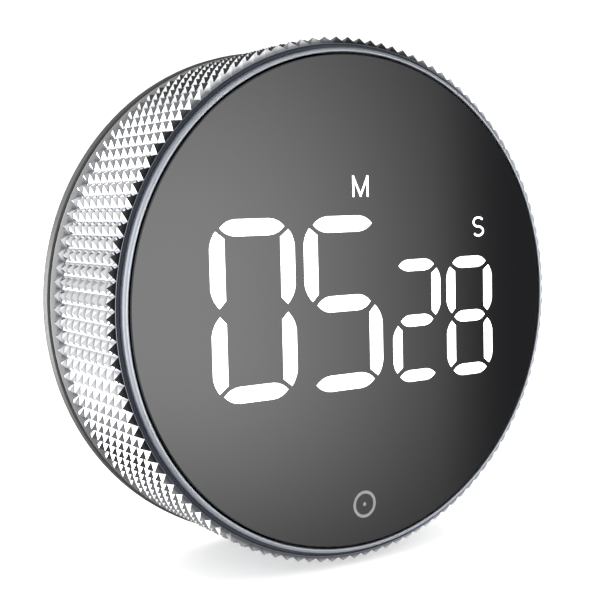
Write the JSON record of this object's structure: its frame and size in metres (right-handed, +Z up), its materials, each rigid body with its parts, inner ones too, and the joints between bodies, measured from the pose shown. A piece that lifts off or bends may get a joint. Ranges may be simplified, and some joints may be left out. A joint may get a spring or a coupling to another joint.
{
  "type": "kitchen timer",
  "caption": "Round kitchen countdown timer with a knurled chrome setting dial, a dark press-to-start face showing lit digits, and a magnetic flat back with a battery door.",
  "frame": {"origin": "centre of the flat magnetic back, on the dial's axis", "axes": "+Y out of the back along the dial's axis, so the face looks along -Y; +Z up for upright digits; +X to the right as the face is read"},
  "size_m": [0.0784, 0.0265, 0.0784],
  "materials": {
    "housing_grey": "smooth satin",
    "chrome_plate": "polished",
    "smoked_window": "polished dark acrylic",
    "lit_white": "lit diffuser",
    "mark_grey": "printed",
    "black_plastic": "moulded",
    "white_plastic": "moulded",
    "board_green": "solder mask",
    "nickel": "nickel plated",
    "rubber_black": "matt",
    "bearing_white": "moulded acetal",
    "cell_wrap": "printed sleeve",
    "led_cream": "moulded",
    "screw_steel": "zinc plated",
    "film_white": "diffusing film",
    "adhesive_black": "tape"
  },
  "bodies": {
    "housing": {"rear_housing": "housing_grey", "anti_slip_ring": "rubber_black", "magnets": "nickel", "glide_rings": "bearing_white", "battery_cells": "cell_wrap", "battery_contacts_plus": "nickel", "battery_contacts_minus": "nickel", "circuit_board": "board_green", "controller_chip": "black_plastic", "sounder": "black_plastic", "board_components": "nickel", "led_chips": "led_cream", "led_reflector": "white_plastic", "diffuser_film": "film_white", "tact_switch": "black_plastic", "encoder_body": "black_plastic", "volume_switch": "nickel", "chassis": "black_plastic", "chassis_screws": "screw_steel"},
    "dial": {"knurled_ring": "chrome_plate", "bezel": "chrome_plate", "dial_ring_gear": "bearing_white"},
    "pinion": {"encoder_pinion": "bearing_white"},
    "face_button": {"face_lens": "smoked_window", "face_carrier": "black_plastic", "face_adhesive": "adhesive_black", "display_segments": "lit_white", "unit_letters": "lit_white", "press_mark": "mark_grey"},
    "switch_plunger": {"tact_plunger": "black_plastic"},
    "slider": {"volume_slider": "black_plastic"},
    "slider_lever": {"volume_switch_lever": "black_plastic"},
    "door": {"battery_door": "housing_grey"}
  },
  "joints": [
    {"name": "dial_spin", "type": "hinge", "parent": "housing", "child": "dial", "pos_m": [0, -0.0135, 0], "axis": [0, 1, 0], "continuous": true},
    {"name": "pinion_spin", "type": "hinge", "parent": "housing", "child": "pinion", "pos_m": [0, -0.0205, 0.028], "axis": [0, 1, 0], "continuous": true},
    {"name": "face_press", "type": "slide", "parent": "housing", "child": "face_button", "axis": [0, 1, 0], "range_m": [0, 0.0005], "stiffness_N_per_m": 3000, "springref_m": -0.0003},
    {"name": "plunger_press", "type": "slide", "parent": "housing", "child": "switch_plunger", "axis": [0, 1, 0], "range_m": [0, 0.0006]},
    {"name": "volume_slide", "type": "slide", "parent": "housing", "child": "slider", "axis": [1, 0, 0], "range_m": [-0.002, 0.002]},
    {"name": "lever_slide", "type": "slide", "parent": "housing", "child": "slider_lever", "axis": [1, 0, 0], "range_m": [-0.002, 0.002]},
    {"name": "door_hinge", "type": "hinge", "parent": "housing", "child": "door", "pos_m": [0, -0.00085, -0.0244], "axis": [-1, 0, 0], "range_deg": [0, 100]}
  ],
  "couplings": [
    {"joint": "pinion_spin", "follows": "dial_spin", "ratio": 6},
    {"joint": "plunger_press", "follows": "face_press", "ratio": 1},
    {"joint": "lever_slide", "follows": "volume_slide", "ratio": 1}
  ]
}
